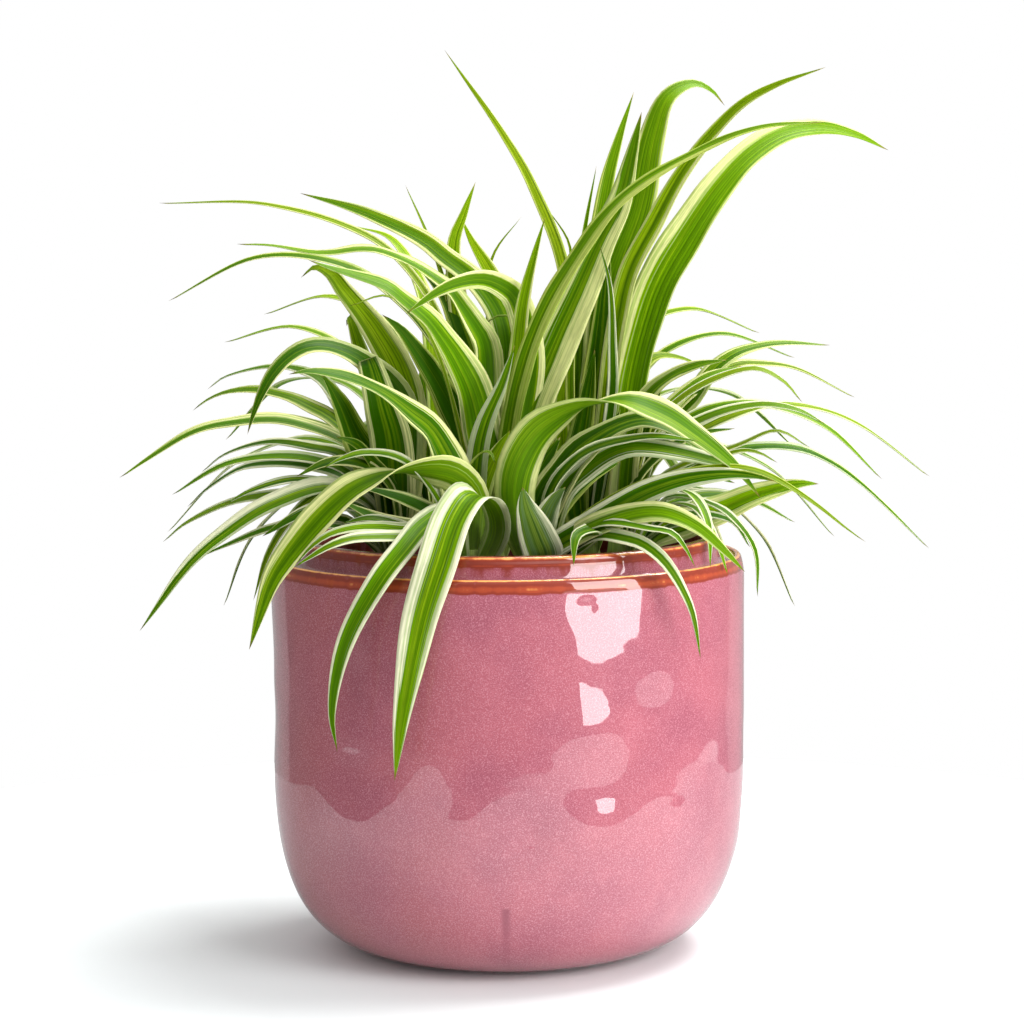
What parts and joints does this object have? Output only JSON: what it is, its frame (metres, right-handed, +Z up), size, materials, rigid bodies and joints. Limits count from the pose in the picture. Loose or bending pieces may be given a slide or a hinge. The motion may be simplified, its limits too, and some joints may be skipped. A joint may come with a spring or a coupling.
{
  "type": "potted spider plant",
  "caption": "Variegated spider plant with arching striped leaves, in a round-bottomed glazed stoneware pot with a stepped rim.",
  "frame": {"origin": "centre of the pot's flat underside", "axes": "+Z up along the pot's axis, -Y towards the picture's camera, +X to the right as seen from there"},
  "size_m": [0.326, 0.2469, 0.3616],
  "materials": {
    "pot_glaze": "gloss",
    "soil": "matte",
    "leaf": "satin"
  },
  "bodies": {
    "root": {"pot": "pot_glaze", "soil": "soil", "rosette_center_left": "leaf", "rosette_center_right": "leaf", "rosette_left": "leaf", "rosette_front_left": "leaf", "rosette_front_right": "leaf", "rosette_right": "leaf", "rosette_back_left": "leaf", "rosette_back_right": "leaf"}
  },
  "joints": []
}
